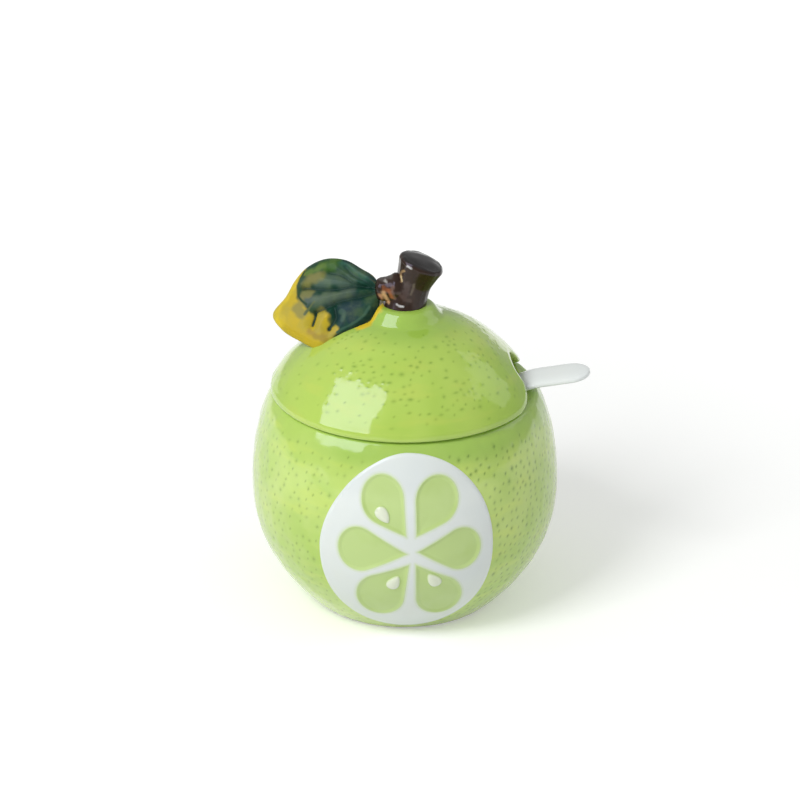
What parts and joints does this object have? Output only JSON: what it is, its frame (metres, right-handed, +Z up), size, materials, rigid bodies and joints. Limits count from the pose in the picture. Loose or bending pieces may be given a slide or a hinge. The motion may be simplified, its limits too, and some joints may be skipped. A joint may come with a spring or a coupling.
{
  "type": "seasoning jar",
  "caption": "Round glazed ceramic seasoning jar in the shape of a citrus fruit, with a sliced-fruit relief, a lift-off lid with stem and leaf, and a spoon in a notch",
  "frame": {"origin": "The middle of the jar's flat foot, on the surface that it stands on", "axes": "+Z up along the jar's own turning axis; the slice relief faces -Y and the spoon's handle points to +X"},
  "size_m": [0.0989, 0.0905, 0.1065],
  "materials": {
    "body_glaze": "glossy green glaze with small pores",
    "pith_glaze": "glossy white glaze",
    "flesh_glaze": "glossy pale green glaze pooled in the recesses",
    "seed_glaze": "glossy white glaze",
    "lid_glaze": "glossy yellow-green glaze with small pores",
    "bark_glaze": "glossy dark brown glaze with lighter streaks",
    "leaf_glaze": "glossy dark green glaze running to yellow at the edges",
    "porcelain": "glossy white glaze"
  },
  "bodies": {
    "jar": {"jar_body": "body_glaze", "slice_disc": "pith_glaze", "slice_segment_1": "flesh_glaze", "slice_segment_2": "flesh_glaze", "slice_segment_3": "flesh_glaze", "slice_segment_4": "flesh_glaze", "slice_segment_5": "flesh_glaze", "slice_segment_6": "flesh_glaze", "slice_seed_1": "seed_glaze", "slice_seed_2": "seed_glaze", "slice_seed_3": "seed_glaze"},
    "lid": {"lid_shell": "lid_glaze", "stem": "bark_glaze", "leaf": "leaf_glaze"},
    "spoon": {"spoon": "porcelain"}
  },
  "joints": [
    {"name": "lid_lift", "type": "slide", "parent": "jar", "child": "lid", "axis": [0, 0, 1], "range_m": [0, 0.1]},
    {"name": "spoon_tilt", "type": "hinge", "parent": "jar", "child": "spoon", "pos_m": [-0.014, 0, 0.0073], "axis": [0, -1, 0], "range_deg": [0, 4]}
  ]
}
